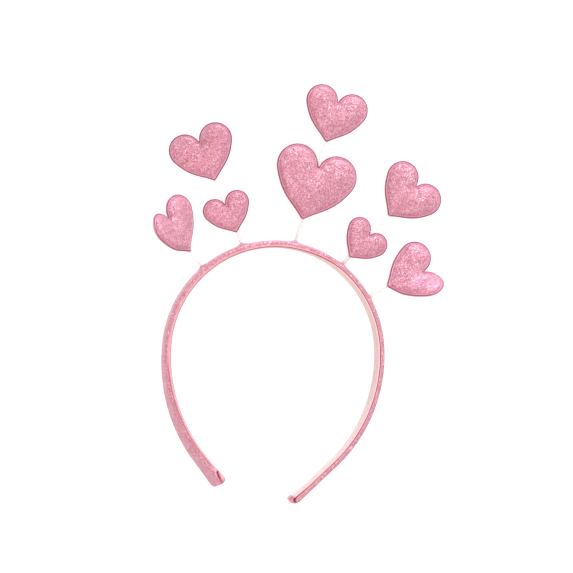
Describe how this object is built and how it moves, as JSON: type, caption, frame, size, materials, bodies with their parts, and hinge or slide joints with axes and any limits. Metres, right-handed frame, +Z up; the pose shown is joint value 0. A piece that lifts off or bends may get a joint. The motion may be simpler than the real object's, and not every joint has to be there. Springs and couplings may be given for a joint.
{
  "type": "heart headband",
  "caption": "Head band covered in pink glitter fabric with a pale ribbon lining, carrying padded glitter hearts on clear stems along its crown.",
  "frame": {"origin": "middle of the crown, on the band's lower edge that lies on the floor", "axes": "+Z up off the floor, across the band's width; +Y from the open end towards the crown and the hearts; +X to the picture's right"},
  "size_m": [0.1665, 0.2317, 0.0258],
  "materials": {
    "glitter_cover": "fine pink glitter fabric",
    "glitter_heart": "padded fine pink glitter fabric",
    "ribbon": "pale pink woven ribbon",
    "clear_stem": "clear to milky plastic rod"
  },
  "bodies": {
    "root": {"band": "glitter_cover", "lining": "ribbon", "stem_left_low": "clear_stem", "stem_left": "clear_stem", "stem_centre": "clear_stem", "stem_right": "clear_stem", "stem_right_low": "clear_stem", "heart_left_low": "glitter_heart", "heart_left_small": "glitter_heart", "heart_left_top": "glitter_heart", "heart_centre_large": "glitter_heart", "heart_centre_top": "glitter_heart", "heart_right_small": "glitter_heart", "heart_right_top": "glitter_heart", "heart_right_low": "glitter_heart"}
  },
  "joints": []
}
